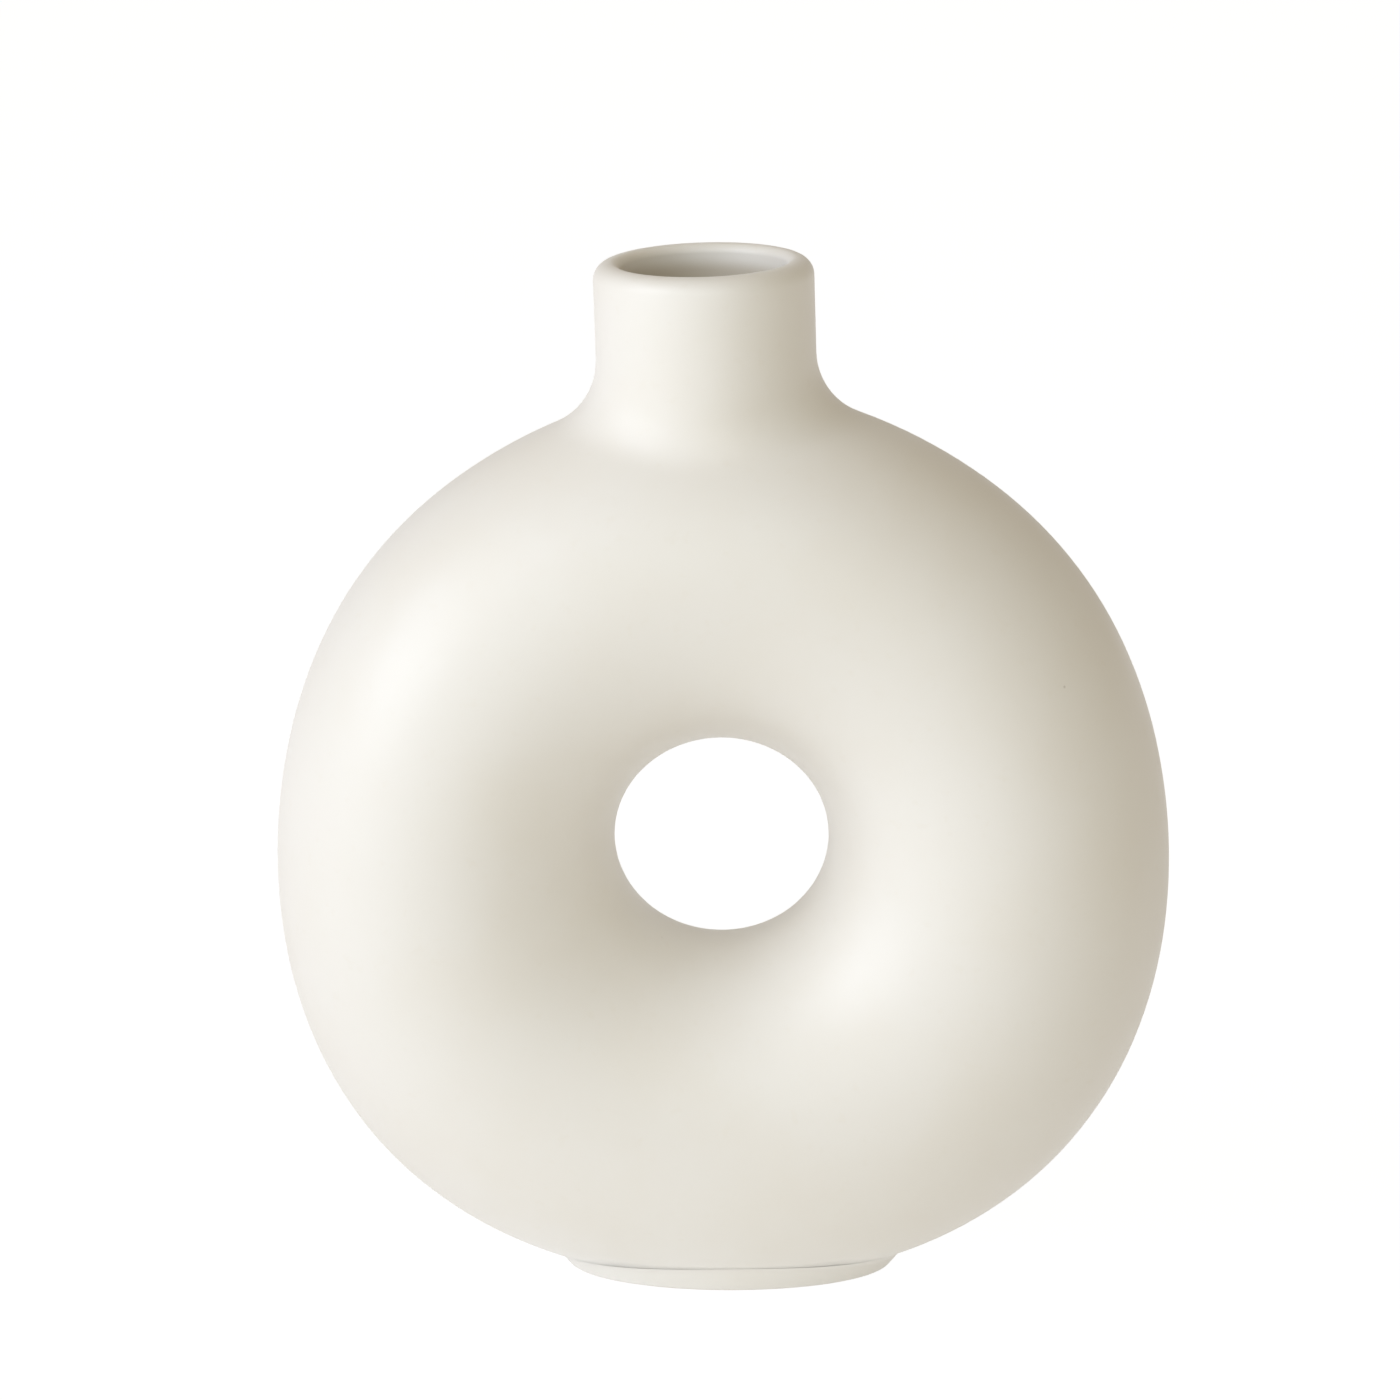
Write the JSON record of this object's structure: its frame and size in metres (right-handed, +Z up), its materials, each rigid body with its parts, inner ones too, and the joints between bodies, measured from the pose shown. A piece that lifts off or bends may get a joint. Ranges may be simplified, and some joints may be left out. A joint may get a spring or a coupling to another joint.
{
  "type": "ring vase",
  "caption": "Hollow ring-shaped ceramic vase with a round see-through hole, a short round neck for stems and a low oval foot.",
  "frame": {"origin": "on the table, under the middle of the ring (bottom centre of the bounding box)", "axes": "+X across the ring, to the right as seen from the front; +Y from front to back, along the see-through hole; +Z up, towards the mouth"},
  "size_m": [0.1701, 0.065, 0.1981],
  "materials": {
    "glaze": "satin cream-white glaze"
  },
  "bodies": {
    "root": {"ring_front": "glaze", "ring_back": "glaze", "neck": "glaze", "foot": "glaze"}
  },
  "joints": []
}
